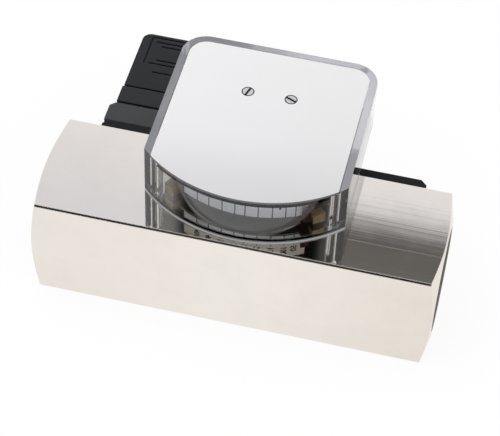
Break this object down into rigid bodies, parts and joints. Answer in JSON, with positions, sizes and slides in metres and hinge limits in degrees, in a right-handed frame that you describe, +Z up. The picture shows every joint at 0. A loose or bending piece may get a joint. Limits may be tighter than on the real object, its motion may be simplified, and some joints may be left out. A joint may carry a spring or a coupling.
{
  "type": "variable area flow meter",
  "caption": "Spring-loaded piston flow meter in a square nickel-plated bar, with a magnet-driven pointer and scale under a clear cover, and a switch housing with a square plug behind.",
  "frame": {"origin": "middle of the square bar's flat bottom face", "axes": "+X along the pipe towards its inlet, +Y to the back where the switch housing is, +Z up through the display"},
  "size_m": [0.132, 0.0925, 0.059],
  "materials": {
    "nickel_plate": "polished nickel plate",
    "clear_plastic": "clear acrylic, polished",
    "pale_plate": "satin",
    "steel": "bright",
    "brass": "machined",
    "grey_sheet": "matt",
    "white_scale": "white with black lines and plain numbers",
    "magnet": "dark ferrite",
    "black_plastic": "fine texture",
    "grey_plastic": "fine texture",
    "rubber": "matt",
    "tin_plate": "tin plate",
    "wire_red": "insulated wire",
    "glass": "sealed glass tube",
    "pale_plastic": "plain",
    "red_paint": "dark red"
  },
  "bodies": {
    "meter": {"meter_body": "nickel_plate", "metering_sleeve": "brass", "sleeve_seal": "rubber", "inlet_guide": "brass", "outlet_guide": "brass", "guide_rod": "steel", "rod_nut": "steel", "inlet_retaining_ring": "steel", "outlet_retaining_ring": "steel", "return_spring": "steel", "clear_cover": "clear_plastic", "cover_seal": "rubber", "top_plate": "pale_plate", "plate_screws": "steel", "bearing_posts": "brass", "pivot_plate": "grey_sheet", "pivot_plate_screws": "steel", "bearing_bridge": "grey_sheet", "front_posts": "brass", "cover_screws": "steel", "pivot_bushes": "brass", "scale_carrier": "grey_sheet", "scale_posts": "brass", "scale_strip": "white_scale", "switch_housing": "black_plastic", "housing_screws": "steel", "housing_gasket": "rubber", "switch_leads": "wire_red", "connector_base": "grey_plastic", "contact_blades": "tin_plate", "connector_base_screws": "steel", "connector_gasket": "rubber", "plug_housing": "black_plastic", "plug_insert": "grey_plastic", "plug_screw": "steel", "gland_nut": "black_plastic", "gland_washer": "pale_plastic", "gland_seal": "rubber"},
    "piston": {"piston": "brass", "piston_magnet": "magnet", "magnet_clip": "steel"},
    "pointer": {"pointer": "red_paint", "pointer_spindle": "steel", "follower_magnet": "magnet", "pointer_counterweight": "brass"},
    "switch_carrier": {"switch_carrier": "pale_plastic", "reed_switch": "glass", "carrier_screw": "steel"}
  },
  "joints": [
    {"name": "piston_slide", "type": "slide", "parent": "meter", "child": "piston", "axis": [-1, 0, 0], "range_m": [0, 0.025], "stiffness_N_per_m": 60, "springref_m": -0.006, "deforming": ["return_spring"]},
    {"name": "pointer_swing", "type": "hinge", "parent": "meter", "child": "pointer", "pos_m": [0.0008, 0.02865, 0.045], "axis": [0, 0, -1], "range_deg": [0, 52.02]},
    {"name": "switch_carrier_slide", "type": "slide", "parent": "meter", "child": "switch_carrier", "axis": [1, 0, 0], "range_m": [-0.004, 0.008]}
  ],
  "couplings": [
    {"joint": "pointer_swing", "follows": "piston_slide", "rad_per_m": 36.3}
  ]
}
